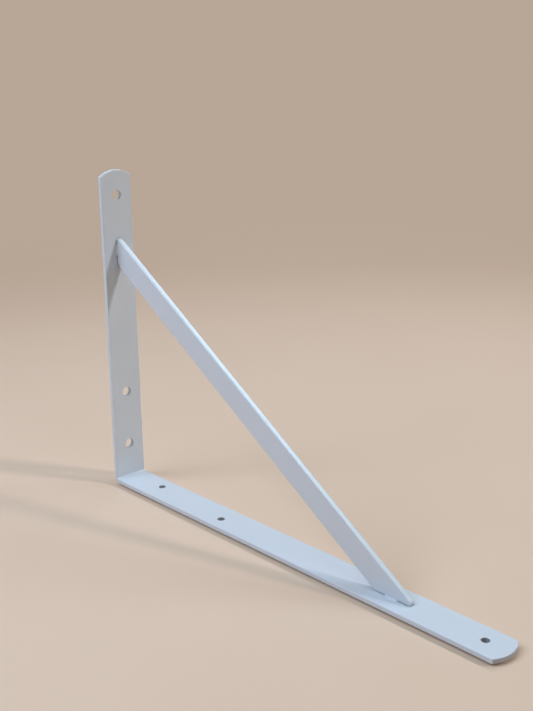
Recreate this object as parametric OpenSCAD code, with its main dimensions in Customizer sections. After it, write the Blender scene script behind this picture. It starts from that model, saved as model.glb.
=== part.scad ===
// Welded shelf bracket: a flat bar bent to a right angle, with a diagonal flat-bar brace.
// It stands on its shelf leg: +X runs along that leg to its tip, +Z up the wall leg, Y across the bar.
// The origin is the centre of the shelf face. The modules work from the heel, where the two outer faces meet.

/* [Strap] */
// Width of the bent flat bar
strap_width = 30; // [24:1:40]
// Thickness of the bent flat bar
strap_thickness = 4; // [3:0.5:6]
// Radius of the bent bar's rolled long edges
strap_arris = 0.8; // [0.4:0.1:1.2]
// Length of the shelf leg, from the wall face to its tip
shelf_leg = 400; // [360:5:500]
// Length of the wall leg, from the shelf face to its tip
wall_leg = 275; // [255:5:350]
// Inside radius of the bend
bend_radius = 2; // [1:0.5:6]
// Radius of the shallow arc at the tip of each leg
tip_radius = 25; // [21:1:40]
// Width of the narrow flat that blunts each corner beside that arc
tip_flat = 0.8; // [0.2:0.1:2]
// Radius of the rounded rim around each tip
tip_arris = 0.8; // [0.2:0.1:1]

/* [Screw holes] */
// Radius of the rounded rims of the holes
hole_arris = 0.4; // [0.2:0.1:1]
// Diameter of the wall holes
wall_hole_d = 8.5; // [6:0.5:11]
// Diameter of the shelf holes
shelf_hole_d = 6; // [4:0.5:9]
// Height of the lowest wall hole above the shelf face
wall_hole_low = 34; // [22:1:50]
// Height of the middle wall hole above the shelf face
wall_hole_middle = 82.5; // [60:0.5:150]
// Distance of the top wall hole from its leg's tip
wall_hole_tip = 21; // [14:1:32]
// Distance of the inner shelf hole from the wall face
shelf_hole_inner = 45; // [25:1:80]
// Distance of the middle shelf hole from the wall face
shelf_hole_middle = 129; // [100:1:220]
// Distance of the outer shelf hole from its leg's tip
shelf_hole_tip = 20; // [12:1:40]
// Sideways offset of the inner and middle shelf holes, one to each side
shelf_hole_stagger = 3; // [0:0.5:8]

/* [Brace] */
// Width of the brace bar, seen from the side
brace_width = 20; // [14:1:26]
// Thickness of the brace bar, across the strap
brace_thickness = 5; // [3:0.5:8]
// Radius of the brace bar's rolled long edges
brace_arris = 1; // [0.4:0.1:1.2]
// Height at which the brace's centre line meets the wall leg
brace_height = 207; // [150:1:220]
// Distance from the wall face at which the brace's centre line meets the shelf leg
brace_reach = 307.5; // [240:0.5:330]
// Height of the blunt nose at the brace's lower end
nose_height = 2.5; // [1:0.5:5]
// Length of the clipped corner at the brace's upper end
corner_clip = 3.5; // [1:0.5:6]

/* [Welds] */
// Gap between the brace's cut ends and the strap, filled only at the welds
weld_gap = 0.5; // [0.2:0.1:1]
// Length of the upper weld
upper_weld_length = 9; // [5:0.5:13]
// Length of the lower weld
lower_weld_length = 11; // [5:0.5:20]
// Radius of the hollow fillet on each side of the brace
weld_fillet = 1.5; // [0.8:0.1:2.2]
// Thickness of a weld's outer edge
weld_toe = 0.2; // [0.1:0.05:0.4]

/* [Hidden] */
$fn = 64;

// White powder coat, slightly cool
coat_colour = "#dbe2e8";
// How far a cutting shape runs past what it cuts
overcut = 1;

// The bend's axis lies this far from both outer faces
bend_axis = strap_thickness + bend_radius;

// The arc of a tip turns this far to either side, up to the long edges
tip_turn = asin(strap_width / 2 / tip_radius);
// Distance from a leg's tip back to the ends of its arc
arc_back = tip_radius * (1 - cos(tip_turn));
// How far a corner beside the arc is cut back by its flat
flat_depth = tip_flat / 2 * tan((90 - tip_turn) / 2);

// Slope of the brace below the horizontal, between the inner faces of the legs
brace_rise = brace_height - strap_thickness;
brace_run = brace_reach - strap_thickness;
brace_slope = atan2(brace_rise, brace_run);
brace_span = norm([brace_run, brace_rise]);
// Half of the brace's width, measured up the wall leg and along the shelf leg
half_up = brace_width / 2 / cos(brace_slope);
half_along = brace_width / 2 / sin(brace_slope);
// The bar is made this much too long at each end, then mitred
mitre_spare = 2 * max(half_up, half_along);

// Distance of the brace's cut ends from the outer faces
brace_seat = strap_thickness + weld_gap;
// Height of a long edge of the brace at x: side is 1 for the upper edge and -1 for the lower
function edge_height(x, side) = brace_height + side * half_up - (x - strap_thickness) * tan(brace_slope);
// Distance from the wall face of a long edge of the brace at height z
function edge_reach(z, side) = brace_reach + side * half_along - (z - strap_thickness) / tan(brace_slope);

upper_corner = edge_height(brace_seat, 1);
clipped_corner = edge_height(brace_seat, -1);
foot_start = edge_reach(brace_seat, -1);
nose_reach = edge_reach(brace_seat + nose_height, 1);
upper_weld_middle = (clipped_corner + corner_clip + upper_corner) / 2;
lower_weld_middle = (foot_start + nose_reach) / 2;

// A weld's reach past each side of the brace, and its height off the strap
weld_reach = weld_fillet + weld_toe;
weld_height = weld_gap + weld_reach;

// Centres of the holes: distance from the other leg's outer face, and sideways offset
wall_holes = [[wall_hole_low, 0], [wall_hole_middle, 0], [wall_leg - wall_hole_tip, 0]];
shelf_holes = [
    [shelf_hole_inner, shelf_hole_stagger],
    [shelf_hole_middle, -shelf_hole_stagger],
    [shelf_leg - shelf_hole_tip, 0]
];

// Moves what is drawn from the heel to the centre of the shelf face
module from_heel() {
    translate([-shelf_leg / 2, 0, 0]) children();
}

// Section of a rolled flat bar, with its four corners rounded
module bar_section(width, thickness, arris) {
    square([width - 2 * arris, thickness], center = true);
    square([width, thickness - 2 * arris], center = true);
    for (side = [-1, 1], face = [-1, 1])
        translate([side * (width / 2 - arris), face * (thickness / 2 - arris)]) circle(arris);
}

// What is cropped off a leg's tip: all beyond an arc whose rim is rounded at both faces
module tip_crop(length) {
    intersection() {
        translate([length - tip_radius, 0, strap_thickness / 2])
            rotate_extrude()
                difference() {
                    translate([tip_radius - tip_arris, -strap_thickness / 2 - overcut])
                        square([strap_width, strap_thickness + 2 * overcut]);
                    bar_section(2 * tip_radius, strap_thickness, tip_arris);
                }
        translate([length - tip_radius, -strap_width, -2 * overcut])
            cube([2 * tip_radius, 2 * strap_width, strap_thickness + 4 * overcut]);
    }
}

// What blunts a leg's tip where its arc meets the long edges
module corner_crop(length) {
    for (side = [0, 1])
        mirror([0, side, 0])
            translate([length - arc_back, strap_width / 2, -overcut])
                rotate([0, 0, (90 + tip_turn) / 2])
                    translate([-flat_depth, -strap_width / 2, 0])
                        cube([strap_width, strap_width, strap_thickness + 2 * overcut]);
}

// What is punched out for a hole, with the hole's rim rounded at both faces
module punching(diameter) {
    translate([0, 0, strap_thickness / 2])
        rotate_extrude()
            difference() {
                translate([0, -strap_thickness / 2 - overcut])
                    square([diameter / 2 + hole_arris, strap_thickness + 2 * overcut]);
                translate([(diameter + strap_width) / 2, 0])
                    bar_section(strap_width, strap_thickness, hole_arris);
            }
}

// One leg, lying along +X from the bend to its tip, with its outer face on z = 0
module leg(length, holes, hole_d) {
    difference() {
        translate([bend_axis, 0, strap_thickness / 2])
            rotate([90, 0, 90])
                linear_extrude(length - bend_axis) bar_section(strap_width, strap_thickness, strap_arris);
        tip_crop(length);
        corner_crop(length);
        for (hole = holes)
            translate([hole[0], hole[1], 0]) punching(hole_d);
    }
}

// The quarter turn between the legs
module heel_bend() {
    translate([bend_axis, 0, bend_axis])
        rotate([90, 0, 0])
            rotate([0, 0, 180])
                rotate_extrude(angle = 90)
                    translate([bend_radius + strap_thickness / 2, 0])
                        bar_section(strap_thickness, strap_width, strap_arris);
}

// Flat bar, punched, cropped and bent in one piece: the wall leg is a leg turned up about the heel
module angle_strap() {
    color(coat_colour) from_heel() {
        leg(shelf_leg, shelf_holes, shelf_hole_d);
        heel_bend();
        mirror([1, 0, -1]) leg(wall_leg, wall_holes, wall_hole_d);
    }
}

// The brace's bar before its ends are cut, with its centre line from leg to leg
module brace_bar() {
    translate([strap_thickness, 0, brace_height])
        rotate([0, 90 + brace_slope, 0])
            translate([0, 0, -mitre_spare])
                linear_extrude(brace_span + 2 * mitre_spare)
                    bar_section(brace_width, brace_thickness, brace_arris);
}

// A block to cut away beyond a plane through the point, which faces +X turned by the angle about Y
module cut_beyond(x, z, angle) {
    size = 3 * mitre_spare;
    translate([x, 0, z])
        rotate([0, angle, 0])
            translate([0, -size / 2, -size / 2]) cube(size);
}

// Flat bar on edge, mitred to both legs, with a blunt nose below and one corner clipped above
module diagonal_brace() {
    color(coat_colour) from_heel() difference() {
        brace_bar();
        cut_beyond(brace_seat, brace_height, 180);
        cut_beyond(brace_reach, brace_seat, 90);
        cut_beyond(nose_reach, brace_seat, 0);
        cut_beyond(brace_seat, clipped_corner + corner_clip, 180 - (90 - brace_slope) / 2);
    }
}

// Section across a weld: the filled gap and a hollow fillet against each side of the brace
module weld_section() {
    translate([-brace_thickness / 2, 0]) square([brace_thickness, weld_gap]);
    for (side = [0, 1])
        mirror([side, 0])
            translate([brace_thickness / 2, 0])
                difference() {
                    square([weld_reach, weld_height]);
                    translate([weld_reach, weld_height]) circle(weld_fillet);
                }
}

// One weld on the plane z = 0, lengthwise on X, with its corners rounded off
module weld_bead(length) {
    intersection() {
        translate([-length / 2, 0, 0])
            rotate([90, 0, 90])
                linear_extrude(length) weld_section();
        linear_extrude(weld_height)
            bar_section(length, brace_thickness + 2 * weld_reach, weld_reach);
    }
}

// Weld between the brace and the wall leg
module upper_weld() {
    color(coat_colour) from_heel()
        translate([strap_thickness, 0, upper_weld_middle])
            rotate([0, 90, 0]) weld_bead(upper_weld_length);
}

// Weld between the brace and the shelf leg
module lower_weld() {
    color(coat_colour) from_heel()
        translate([lower_weld_middle, 0, strap_thickness]) weld_bead(lower_weld_length);
}

angle_strap();
diagonal_brace();
upper_weld();
lower_weld();
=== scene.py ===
# %% [markdown]
# # A welded shelf bracket
#
# The bracket is two flat steel bars: one bent to a right angle, and one welded across it as a brace.
# The frame holds the bars and the welds at their real size, in metres, standing on the shelf leg.
# This lesson keeps the bent bar, makes the brace and the welds again with softer edges,
# and gives all of them their finish, their light and the view of the photograph.

import math

import bmesh
import bpy
from mathutils import Matrix, Vector


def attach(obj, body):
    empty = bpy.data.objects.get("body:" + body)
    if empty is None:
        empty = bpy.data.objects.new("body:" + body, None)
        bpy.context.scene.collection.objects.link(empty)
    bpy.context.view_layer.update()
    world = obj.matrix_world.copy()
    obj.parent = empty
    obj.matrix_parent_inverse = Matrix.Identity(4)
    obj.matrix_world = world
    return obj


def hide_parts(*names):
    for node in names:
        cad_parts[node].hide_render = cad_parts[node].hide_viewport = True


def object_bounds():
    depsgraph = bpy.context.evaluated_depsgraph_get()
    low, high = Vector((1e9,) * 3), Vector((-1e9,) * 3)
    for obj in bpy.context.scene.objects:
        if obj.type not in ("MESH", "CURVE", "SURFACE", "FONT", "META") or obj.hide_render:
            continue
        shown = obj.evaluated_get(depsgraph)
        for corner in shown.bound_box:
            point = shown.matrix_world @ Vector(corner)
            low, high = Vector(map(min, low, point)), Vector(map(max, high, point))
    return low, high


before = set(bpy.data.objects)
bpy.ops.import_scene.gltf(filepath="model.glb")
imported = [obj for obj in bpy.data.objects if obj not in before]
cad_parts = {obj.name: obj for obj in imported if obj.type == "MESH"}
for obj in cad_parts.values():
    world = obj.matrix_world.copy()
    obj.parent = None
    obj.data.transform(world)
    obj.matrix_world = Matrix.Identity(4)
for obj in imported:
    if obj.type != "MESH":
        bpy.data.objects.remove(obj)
cad_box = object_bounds()
scene = bpy.context.scene
MM = 0.001
print("nodes:", ", ".join(sorted(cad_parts)))

# %% [markdown]
# ## Colours and nodes
#
# Colours are written as sRGB hex values, as one reads them off a paint card, and Blender wants them linear.
# A material is a handful of nodes, so one function adds a node with its settings and its links.


# %% Helpers for colours and nodes
def linear(hex_colour):
    """An sRGB hex value as linear red, green, blue and a full alpha."""
    channels = [int(hex_colour[i:i + 2], 16) / 255 for i in (1, 3, 5)]
    return [c / 12.92 if c <= 0.04045 else ((c + 0.055) / 1.055) ** 2.4 for c in channels] + [1.0]


def add_node(tree, kind, settings, links=()):
    """A new node: settings go to its sockets or its own properties, links are (socket, from) pairs."""
    node = tree.nodes.new(kind)
    for name, value in settings.items():
        if isinstance(name, int) or name in node.inputs:
            node.inputs[name].default_value = value
        else:
            setattr(node, name, value)
    for name, source in links:
        tree.links.new(source, node.inputs[name])
    return node


def per_mm(size_mm):
    """The scale of a pattern whose features are about that many millimetres across."""
    return 1 / (size_mm * MM)


# %% [markdown]
# ## Powder-coated steel
#
# The welded bracket is dusted with polyester powder and baked, so one satin skin runs over bars and welds.
# To the eye that is a cool white, softly glossy, with a faint orange peel where the powder flowed.
# It could be one flat colour, but then the long faces look like paper: the small unevenness of the skin
# is what breaks up the gloss. Slow clouds shift the colour a little,
# and ripples with a finer grain make the relief.
# Where the mesh carries the shade attribute, steel grey is mixed into the coat, which turns rougher there.
# That grey is painted shade: in the holes, on the end of the shelf leg and in the gaps under the brace's
# ends.

# %% Make the powder coat
COAT_COLOUR = "#dfe5eb"
COAT_COLOUR_SOFT = "#d8dfe6"
# The grey that paints shade into the holes, the gaps and the end of the shelf leg.
PAINTED_SHADE_GREY = "#57585a"
COAT_ROUGHNESS = (0.15, 0.24)
# How much rougher the coat is where shade is painted.
ROUGHER_WHERE_SHADED = 0.3
COAT_IOR = 1.5
CLOUD_MM = 45
PEEL_MM = 2.6
# Real grain is finer than this; it is drawn at 0.8 mm so that it shows at all in the picture.
GRAIN_MM = 0.8
PEEL_HEIGHT_MM = 0.03
GRAIN_SHARE = 0.3


def powder_coated_steel():
    material = bpy.data.materials.new("white_powder_coated_steel")
    material.use_nodes = True
    tree = material.node_tree
    coat = tree.nodes["Principled BSDF"]
    coat.inputs["IOR"].default_value = COAT_IOR
    place = add_node(tree, "ShaderNodeTexCoord", {}).outputs["Object"]
    shaded = add_node(tree, "ShaderNodeAttribute", {"attribute_name": "painted_shade"}).outputs["Fac"]
    clouds = add_node(tree, "ShaderNodeTexNoise", {"Scale": per_mm(CLOUD_MM), "Detail": 3.0},
                      [("Vector", place)])
    peel = add_node(tree, "ShaderNodeTexNoise", {"Scale": per_mm(PEEL_MM), "Detail": 1.0},
                    [("Vector", place)])
    grain = add_node(tree, "ShaderNodeTexNoise", {"Scale": per_mm(GRAIN_MM), "Detail": 2.0},
                     [("Vector", place)])
    white = add_node(tree, "ShaderNodeMix",
                     {"data_type": "RGBA", 6: linear(COAT_COLOUR_SOFT), 7: linear(COAT_COLOUR)},
                     [(0, clouds.outputs["Fac"])])
    # Painted shade: steel grey mixed into the white, as far as the shade attribute asks.
    colour = add_node(tree, "ShaderNodeMix", {"data_type": "RGBA", 7: linear(PAINTED_SHADE_GREY)},
                      [(0, shaded), (6, white.outputs[2])])
    gloss = add_node(tree, "ShaderNodeMapRange",
                     {"To Min": COAT_ROUGHNESS[0], "To Max": COAT_ROUGHNESS[1]},
                     [("Value", grain.outputs["Fac"])])
    roughness = add_node(tree, "ShaderNodeMath", {"operation": "MULTIPLY_ADD", 1: ROUGHER_WHERE_SHADED},
                         [(0, shaded), (2, gloss.outputs["Result"])])
    relief = add_node(tree, "ShaderNodeMath", {"operation": "MULTIPLY_ADD", 1: GRAIN_SHARE},
                      [(0, grain.outputs["Fac"]), (2, peel.outputs["Fac"])])
    bump = add_node(tree, "ShaderNodeBump", {"Distance": PEEL_HEIGHT_MM * MM, "Strength": 1.0},
                    [("Height", relief.outputs["Value"])])
    tree.links.new(colour.outputs[2], coat.inputs["Base Color"])
    tree.links.new(roughness.outputs["Value"], coat.inputs["Roughness"])
    tree.links.new(bump.outputs["Normal"], coat.inputs["Normal"])
    return material


powder_coat = powder_coated_steel()
print("material:", powder_coat.name, "with", len(powder_coat.node_tree.nodes), "nodes")

# %% [markdown]
# ## The bent bar
#
# This is one bar, punched with six holes, cropped at both tips and bent.
# The frame's mesh has its true curves, so it stays, and only takes the coat.
# The walls of the holes are found by their faces, which look along the bar and lie well inside its edges.
# The wall holes get only a little painted shade, steel grey mixed into the coat; the shelf holes get more.
# The end of the shelf leg gets painted shade too, nearly as dark as in the shelf holes.

# %% Coat the bent bar
# Shares of painted shade: how much steel grey goes into the coat in the holes and on the tip end.
WALL_HOLE_SHADE = 0.12
SHELF_HOLE_SHADE = 0.5
TIP_END_SHADE = 0.45
TIP_ARC = 6 * MM
PAST_BEND = 10 * MM
INSIDE_EDGES = 9 * MM
HALF_TURNED = 0.5

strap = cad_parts["angle_strap"]
strap.data.materials.clear()
strap.data.materials.append(powder_coat)
heel_x = cad_box[0][0]
tip_x = cad_box[1][0]
tip_z = cad_box[1][2]


def strap_shade(face):
    """How much shade is painted on a face: in a hole and on the end of the shelf leg."""
    on_wall_leg = face.center.z > PAST_BEND
    on_shelf_leg = face.center.x > heel_x + PAST_BEND
    if on_wall_leg == on_shelf_leg:
        return 0.0
    turned_off = abs(face.normal.x if on_wall_leg else face.normal.z) < HALF_TURNED
    if tip_z - face.center.z < TIP_ARC:
        return 0.0
    if tip_x - face.center.x < TIP_ARC:
        return TIP_END_SHADE if turned_off and face.normal.x > HALF_TURNED else 0.0
    hole_shade = WALL_HOLE_SHADE if on_wall_leg else SHELF_HOLE_SHADE
    return hole_shade if turned_off and abs(face.center.y) < INSIDE_EDGES else 0.0


def paint_shade(mesh, rule):
    """Writes the painted-shade attribute on a mesh: the rule gives each face its value."""
    values = [rule(face) for face in mesh.polygons]
    mesh.attributes.new("painted_shade", "FLOAT", "FACE").data.foreach_set("value", values)
    return values


# Painted shade goes into the holes and onto the end of the shelf leg.
strap_shade_values = paint_shade(strap.data, strap_shade)
print("bent bar:", len(strap_shade_values), "faces, thin on", len(strap_shade_values) - strap_shade_values.count(0.0))

# %% [markdown]
# ## The brace
#
# The brace is a flat bar on edge. Its ends are sawn to lie along the two legs, the upper one loses a corner,
# and the lower one has a blunt nose. It could be the frame's own mesh, but a sawn end that is coated
# has no knife edges, and the soft edges are what catch the light.
# So the bar's rounded section is drawn once, each of its points runs down the slope
# from the last upper cut that it meets to the first lower one, and then the cut edges are bevelled.

# %% Sizes of the brace
STRAP_THICKNESS = 4
WELD_GAP = 0.5
BRACE_WIDTH = 20
BRACE_THICKNESS = 5
BRACE_ARRIS = 1.0
BRACE_HEIGHT = 207
BRACE_REACH = 307.5
NOSE_HEIGHT = 2.5
CORNER_CLIP = 3.5

slope = math.atan2(BRACE_HEIGHT - STRAP_THICKNESS, BRACE_REACH - STRAP_THICKNESS)
seat = STRAP_THICKNESS + WELD_GAP
down_bar = Vector((math.cos(slope), 0, -math.sin(slope)))
across_bar = Vector((math.sin(slope), 0, math.cos(slope)))
bar_start = Vector((STRAP_THICKNESS, 0, BRACE_HEIGHT))
half_width = BRACE_WIDTH / 2
flat_edge = half_width - BRACE_ARRIS

low_corner = BRACE_HEIGHT - half_width / math.cos(slope) - WELD_GAP * math.tan(slope)
clip_point = Vector((seat, 0, low_corner + CORNER_CLIP))
clip_turn = (math.pi / 2 - slope) / 2
high_corner = BRACE_HEIGHT + half_width / math.cos(slope) - WELD_GAP * math.tan(slope)
apex_point = Vector((seat, 0, high_corner - BRACE_ARRIS / math.cos(slope)))
nose_rise = seat + NOSE_HEIGHT - STRAP_THICKNESS
nose_x = BRACE_REACH + half_width / math.sin(slope) - nose_rise / math.tan(slope)
nose_point = Vector((nose_x, 0, seat))
print("brace slopes at", round(math.degrees(slope), 2), "degrees and ends at x =", round(nose_x, 1), "mm")

# %% [markdown]
# Each cut is a point and the direction that looks out of the steel.
# Three cuts begin the bar at its upper end. The last of them only blunts the sharp corner on top,
# down to where the flat side of the bar begins.
# Two cuts end it at the foot.

# %% Cuts and section of the brace
UPPER_CUTS = [
    (clip_point, Vector((-1, 0, 0))),
    (clip_point, Vector((-math.cos(clip_turn), 0, -math.sin(clip_turn)))),
    (apex_point, across_bar + Vector((-1, 0, 0))),
]
LOWER_CUTS = [
    (nose_point, Vector((0, 0, -1))),
    (nose_point, Vector((1, 0, 0))),
]
ARRIS_STEPS = 8


def cut_at(start, cut):
    """How far down the bar from the start a cut is met."""
    point, outward = cut
    return (point - start).dot(outward) / down_bar.dot(outward)


def bar_outline(fold_heights):
    """The bar's section, point by point: (across, sideways). The flats get a point where a cut end folds."""
    outline = []
    side = BRACE_THICKNESS / 2 - BRACE_ARRIS
    for corner, (a, b) in enumerate([(1, 1), (-1, 1), (-1, -1), (1, -1)]):
        for step in range(ARRIS_STEPS + 1):
            turn = math.pi / 2 * (corner + step / ARRIS_STEPS)
            across = a * flat_edge + BRACE_ARRIS * math.cos(turn)
            outline.append((across, b * side + BRACE_ARRIS * math.sin(turn)))
        if corner == 0:
            outline += [(height, BRACE_THICKNESS / 2) for height in sorted(fold_heights, reverse=True)]
        if corner == 2:
            outline += [(height, -BRACE_THICKNESS / 2) for height in sorted(fold_heights)]
    return outline


clip_fold = (clip_point - bar_start).dot(across_bar)
nose_fold = (nose_point - bar_start).dot(across_bar)
outline = bar_outline([clip_fold, nose_fold])
print("brace section:", len(outline), "points, ends fold at", round(clip_fold, 2), round(nose_fold, 2), "mm")

# %% [markdown]
# The rings of points are joined by four-sided faces, each end is closed by flat faces that meet at folds,
# and a small bevel goes round the cut ends. Weighted normals keep the flats flat beside the soft edges.
# The faces that look into the narrow gaps under the cut ends, and the bevel where it turns into them,
# get painted shade: steel grey mixed into the coat, so that the gaps read darker.

# %% Build the brace
BRACE_RINGS = 24
CUT_BEVEL = 0.35
BEVEL_STEPS = 3
ROUND_PROFILE = 0.5
SHARP_DEG = 30
# How much painted shade the faces in the gaps get, and how squarely they must look at the strap.
GAP_SHADE = 0.9
INTO_GAP = 0.6
SAME_HEIGHT = 1e-6


def heel_to_frame(point):
    """Millimetres from the heel, where the outer faces meet, as metres in the frame."""
    return (heel_x + point.x * MM, point.y * MM, point.z * MM)


def finished_mesh(bm, name):
    """A mesh with soft shading, apart from its sharp edges."""
    for face in bm.faces:
        face.smooth = True
    for edge in bm.edges:
        edge.smooth = edge.calc_face_angle(0) < math.radians(SHARP_DEG)
    mesh = bpy.data.meshes.new(name)
    bm.to_mesh(mesh)
    bm.free()
    return mesh


def coated_piece(mesh, node):
    """A coated object that takes the place of a node of the frame."""
    piece = bpy.data.objects.new(mesh.name, mesh)
    scene.collection.objects.link(piece)
    mesh.materials.append(powder_coat)
    piece.modifiers.new("flat_faces_stay_flat", "WEIGHTED_NORMAL").keep_sharp = True
    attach(piece, "root")
    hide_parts(node)
    return piece


def join_rings(bm, rings):
    """Four-sided faces between rings of vertices that follow each other."""
    count = len(rings[0])
    for ring, following in zip(rings, rings[1:]):
        for i in range(count):
            j = (i + 1) % count
            bm.faces.new((ring[i], ring[j], following[j], following[i]))


def brace_rings(bm):
    """Rings of vertices down the bar, from the upper cuts to the lower ones."""
    rings = [[] for _ in range(BRACE_RINGS + 1)]
    for across, sideways in outline:
        start = bar_start + across * across_bar + Vector((0, sideways, 0))
        begin = max(cut_at(start, cut) for cut in UPPER_CUTS)
        end = min(cut_at(start, cut) for cut in LOWER_CUTS)
        for step, ring in enumerate(rings):
            along = begin + (end - begin) * step / BRACE_RINGS
            ring.append(bm.verts.new(heel_to_frame(start + along * down_bar)))
    return rings


def close_end(bm, ring, folds):
    """Flat faces over the end of the bar, which meet at its folds, the highest first. Gives their edges."""
    pairs = [(0, len(ring) - 1)]
    for fold in folds:
        pairs.append([i for i, (across, _) in enumerate(outline) if abs(across - fold) < SAME_HEIGHT])
    faces = [bm.faces.new(ring[a:c + 1] + ring[d:b + 1]) for (a, b), (c, d) in zip(pairs, pairs[1:])]
    left, right = pairs[-1]
    faces.append(bm.faces.new(ring[left:right + 1]))
    return {edge for face in faces for edge in face.edges}


def build_brace():
    bm = bmesh.new()
    rings = brace_rings(bm)
    join_rings(bm, rings)
    cut_edges = close_end(bm, rings[0], [flat_edge, clip_fold]) | close_end(bm, rings[-1], [nose_fold])
    bmesh.ops.recalc_face_normals(bm, faces=bm.faces)
    bmesh.ops.bevel(bm, geom=list(cut_edges), offset=CUT_BEVEL * MM, segments=BEVEL_STEPS,
                    profile=ROUND_PROFILE, affect="EDGES", clamp_overlap=True)
    return finished_mesh(bm, "brace_bar")


def shade_in_gap(face):
    """How much shade is painted on a face of the brace: much where it looks at the strap."""
    looks_at_strap = max(face.normal.dot(outward) for _, outward in (UPPER_CUTS[0], LOWER_CUTS[0]))
    return GAP_SHADE if looks_at_strap > INTO_GAP else 0.0


brace = coated_piece(build_brace(), "diagonal_brace")
# Painted shade on the brace's faces in the gaps under its ends.
gap_shaded = paint_shade(brace.data, shade_in_gap)
print("brace:", len(gap_shaded), "faces, bare on", gap_shaded.count(GAP_SHADE))

# %% [markdown]
# ## The welds
#
# Each end of the brace stands half a millimetre off the strap, and a short weld fills the middle of the gap.
# Under the coat it is only a smooth hollow between brace and strap, which runs out to nothing at both ends.
# Noise could make it lumpy, but the photograph shows it smooth, so its section is drawn
# as a quarter circle on each side and shrunk towards the ends.

# %% Build the welds
UPPER_WELD_LENGTH = 9
LOWER_WELD_LENGTH = 11
WELD_REACH = 1.7
WELD_TOE = 0.12
WELD_STATIONS = 32
FILLET_STEPS = 8
SMALLEST_SHARE = 0.02
WELD_TAPER = 0.7


def weld_side(reach):
    """One side of a weld's section, from its toe up the brace and into the gap: (sideways, height)."""
    brace_side = BRACE_THICKNESS / 2
    points = [(brace_side + reach + WELD_TOE, 0.0)]
    for step in range(FILLET_STEPS + 1):
        turn = math.pi / 2 * step / FILLET_STEPS
        height = WELD_TOE + (WELD_GAP + reach - WELD_TOE) * (1 - math.cos(turn))
        points.append((brace_side + reach * (1 - math.sin(turn)), height))
    points.append((brace_side, WELD_GAP))
    return points


def build_weld(name, length, place):
    """A closed bead. place turns along, sideways and height into a point from the heel."""
    bm = bmesh.new()
    rings = []
    for station in range(WELD_STATIONS + 1):
        turn = math.pi * station / WELD_STATIONS
        along = -length / 2 * math.cos(turn)
        side = weld_side(WELD_REACH * max(math.sin(turn), SMALLEST_SHARE) ** WELD_TAPER)
        section = side + [(-sideways, height) for sideways, height in reversed(side)]
        rings.append([bm.verts.new(heel_to_frame(place(along, y, up))) for y, up in section])
    join_rings(bm, rings)
    bm.faces.new(rings[0])
    bm.faces.new(rings[-1])
    bmesh.ops.recalc_face_normals(bm, faces=bm.faces)
    return finished_mesh(bm, name)


foot_x = BRACE_REACH - half_width / math.sin(slope) - WELD_GAP / math.tan(slope)
upper_middle = (clip_point.z + high_corner) / 2
lower_middle = (foot_x + nose_x) / 2
upper_mesh = build_weld("upper_bead", UPPER_WELD_LENGTH,
                        lambda along, y, up: Vector((STRAP_THICKNESS + up, y, upper_middle + along)))
lower_mesh = build_weld("lower_bead", LOWER_WELD_LENGTH,
                        lambda along, y, up: Vector((lower_middle + along, y, STRAP_THICKNESS + up)))
for mesh, node in ((upper_mesh, "upper_weld"), (lower_mesh, "lower_weld")):
    bead = coated_piece(mesh, node)
    print(bead.name, "for", node, len(mesh.polygons), "faces")

# %% [markdown]
# ## Camera
#
# The photograph looks down a little into the open side of the bracket, from beyond its tip and to one side.
# The view could be turned by hand until it looks right, but the picture's straight edges say it better:
# the place, the aim and the slight tilt were worked out from them.

# %% Set the camera
CAMERA_PLACE = Vector((486.9, -487.9, 363.8)) * MM
CAMERA_AIM = Vector((-19.2, 0.0, 152.5)) * MM
CAMERA_ROLL_DEG = -0.58
LENS_MM = 50.6
SENSOR_MM = 36

camera_data = bpy.data.cameras.new("camera")
camera_data.sensor_width = SENSOR_MM
camera_data.lens = LENS_MM
camera = bpy.data.objects.new("camera", camera_data)
look = CAMERA_AIM - CAMERA_PLACE
aim = look.to_track_quat("-Z", "Y").to_matrix().to_4x4()
roll = Matrix.Rotation(math.radians(CAMERA_ROLL_DEG), 4, "Z")
camera.matrix_world = Matrix.Translation(CAMERA_PLACE) @ aim @ roll
scene.collection.objects.link(camera)
scene.camera = camera
print("camera is", round(look.length, 3), "m from its aim")

# %% [markdown]
# ## Floor and backdrop
#
# A product is photographed on a sheet of matt card. Its warm pale colour sets off the coat's cool white,
# and a faint mottle keeps it from being one flat tint.
# A card has an end, and beyond it a view from the back would look into the dark.
# More light would only bleach the bracket. So, away from it, the card fades into one even tone, which is met
# only by rays that are looked along: those from the camera, and those that a gloss or a glass sends on.
# Rays that carry light don't meet it, and near the bracket the card keeps its light and its shadow.

# %% Make the card
CARD_COLOUR = "#eed1b8"
CARD_COLOUR_SOFT = "#eaccb2"
CARD_MOTTLE_MM = 180
CARD_ROUGHNESS = 0.9
CARD_SPECULAR = 0.1
BACKDROP_COLOUR = "#b8a696"
FADE_FROM = 0.6
FADE_TO = 1.5


def looked_along(tree):
    """One on rays from the camera, a gloss or a glass, and nothing on rays that carry light."""
    path = add_node(tree, "ShaderNodeLightPath", {})
    sent_on = add_node(tree, "ShaderNodeMath", {"operation": "MAXIMUM"},
                       [(0, path.outputs["Is Glossy Ray"]), (1, path.outputs["Is Transmission Ray"])])
    seen = add_node(tree, "ShaderNodeMath", {"operation": "MAXIMUM"},
                    [(0, path.outputs["Is Camera Ray"]), (1, sent_on.outputs["Value"])])
    return seen.outputs["Value"]


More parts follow.
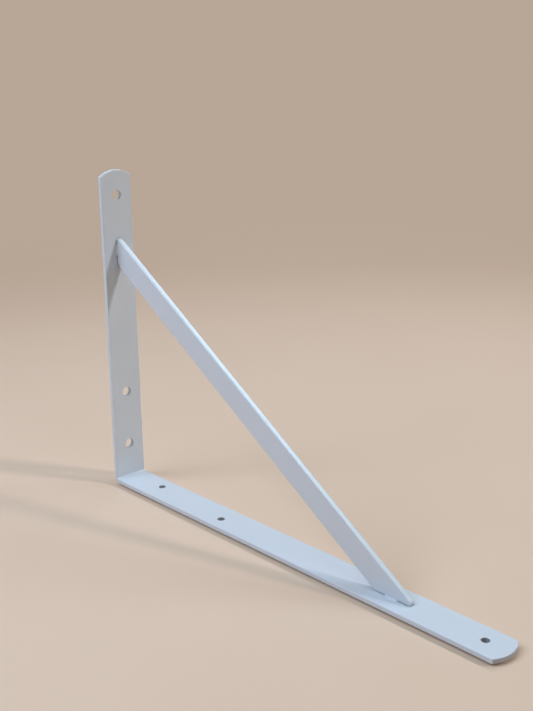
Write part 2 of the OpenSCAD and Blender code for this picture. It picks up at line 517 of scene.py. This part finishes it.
def pale_card():
    material = bpy.data.materials.new("pale_card")
    material.use_nodes = True
    tree = material.node_tree
    card = tree.nodes["Principled BSDF"]
    card.inputs["Roughness"].default_value = CARD_ROUGHNESS
    card.inputs["Specular IOR Level"].default_value = CARD_SPECULAR
    place = add_node(tree, "ShaderNodeTexCoord", {}).outputs["Object"]
    mottle = add_node(tree, "ShaderNodeTexNoise", {"Scale": per_mm(CARD_MOTTLE_MM), "Detail": 2.0},
                      [("Vector", place)])
    colour = add_node(tree, "ShaderNodeMix",
                      {"data_type": "RGBA", 6: linear(CARD_COLOUR_SOFT), 7: linear(CARD_COLOUR)},
                      [(0, mottle.outputs["Fac"])])
    tree.links.new(colour.outputs[2], card.inputs["Base Color"])
    distance = add_node(tree, "ShaderNodeVectorMath", {"operation": "LENGTH"}, [(0, place)])
    fade = add_node(tree, "ShaderNodeMapRange",
                    {"interpolation_type": "SMOOTHSTEP", "From Min": FADE_FROM, "From Max": FADE_TO},
                    [("Value", distance.outputs["Value"])])
    far = add_node(tree, "ShaderNodeMath", {"operation": "MULTIPLY"},
                   [(0, fade.outputs["Result"]), (1, looked_along(tree))])
    tone = add_node(tree, "ShaderNodeEmission", {"Color": linear(BACKDROP_COLOUR)})
    sheet = add_node(tree, "ShaderNodeMixShader", {},
                     [(0, far.outputs["Value"]), (1, card.outputs["BSDF"]), (2, tone.outputs["Emission"])])
    tree.links.new(sheet.outputs["Shader"], tree.nodes["Material Output"].inputs["Surface"])
    return material


card_sheet = pale_card()
print("material:", card_sheet.name, "fades from", FADE_FROM, "to", FADE_TO, "m")

# %% [markdown]
# The card is laid as a sweep: flat, and then curving up behind, with no edge or corner to draw the eye.
# Two flat planes would show a line where they meet. So its profile is a line, a quarter circle and a line,
# drawn wide, and it faces the camera.
# It lies a little under the bracket: a bar of this length is never quite flat, and the real one
# stands on its ends, with a thin dark gap under it.

# %% Lay the sweep
SWEEP_FRONT = 2.5
SWEEP_BACK = 1.1
SWEEP_BEND = 0.6
SWEEP_HEIGHT = 2.5
SWEEP_WIDTH = 6.0
SWEEP_STEPS = 24
FLOOR_DROP = 1.6 * MM


def sweep_profile():
    """Points of the card's profile, as distance behind the bracket and height."""
    points = [(-SWEEP_FRONT, 0.0)]
    for step in range(SWEEP_STEPS + 1):
        turn = math.pi / 2 * step / SWEEP_STEPS
        points.append((SWEEP_BACK + SWEEP_BEND * math.sin(turn), SWEEP_BEND * (1 - math.cos(turn))))
    points.append((SWEEP_BACK + SWEEP_BEND, SWEEP_HEIGHT))
    return points


profile = sweep_profile()
sweep_mesh = bpy.data.meshes.new("sweep")
corners = [(side * SWEEP_WIDTH / 2, back, up) for side in (-1, 1) for back, up in profile]
strips = [(i + 1, i, i + len(profile), i + len(profile) + 1) for i in range(len(profile) - 1)]
sweep_mesh.from_pydata(corners, [], strips)
sweep_mesh.polygons.foreach_set("use_smooth", [True] * len(strips))
sweep_mesh.materials.append(card_sheet)
sweep = bpy.data.objects.new("sweep", sweep_mesh)
sweep.location.z = -FLOOR_DROP
sweep.rotation_euler.z = math.atan2(look.y, look.x) - math.pi / 2
scene.collection.objects.link(sweep)
print("sweep:", len(strips), "faces")

# %% [markdown]
# ## Light
#
# A small soft box far to the right is the key: it comes from a little behind the bracket,
# so the brace drops its shadow on both legs, towards the camera.
# Large cool ones on the left and overhead fill the near sides and the tops.
# A long strip stands where the brace's upper edge mirrors it into the camera, so that edge is the brightest.
# A faint even surround keeps the far sides from going black, and is seen in the tone of the backdrop.
# The Standard view shows colours about as they are written.

# %% Set the lights
LIGHT_AIM = Vector((0.0, 0.0, 0.1))
SURROUND_COLOUR = "#ffffff"
SURROUND_STRENGTH = 0.05
scene.view_settings.view_transform = "Standard"


def soft_box(name, place, size, power, hex_colour):
    """An area light of that width and height, aimed at the middle of the bracket."""
    data = bpy.data.lights.new(name, "AREA")
    data.shape = "RECTANGLE"
    data.size = size[0]
    data.size_y = size[1]
    data.energy = power
    data.color = linear(hex_colour)[:3]
    light = bpy.data.objects.new(name, data)
    light.location = place
    light.rotation_euler = (LIGHT_AIM - light.location).to_track_quat("-Z", "Y").to_euler()
    light.visible_camera = False
    scene.collection.objects.link(light)


soft_box("right_key", (2.7, 1.7, 2.1), (0.4, 0.4), 42.4, "#fafbff")
soft_box("left_fill", (-0.45, -1.05, 1.2), (1.0, 1.0), 15.4, "#d5e4ff")
soft_box("overhead", (-0.2, -0.3, 1.7), (1.2, 1.2), 6.2, "#d8f8ff")
soft_box("back_strip", (0.0, 0.95, 1.27), (1.4, 0.25), 7.5, "#d6ecff")

world = bpy.data.worlds.new("surround")
world.use_nodes = True
room = world.node_tree
surround = room.nodes["Background"]
surround.inputs["Color"].default_value = linear(SURROUND_COLOUR)
surround.inputs["Strength"].default_value = SURROUND_STRENGTH
backdrop = add_node(room, "ShaderNodeBackground", {"Color": linear(BACKDROP_COLOUR), "Strength": 1.0})
either = add_node(room, "ShaderNodeMixShader", {},
                  [(0, looked_along(room)),
                   (1, surround.outputs["Background"]), (2, backdrop.outputs["Background"])])
room.links.new(either.outputs["Shader"], room.nodes["World Output"].inputs["Surface"])
scene.world = world
print("lights:", ", ".join(light.name for light in bpy.data.lights))
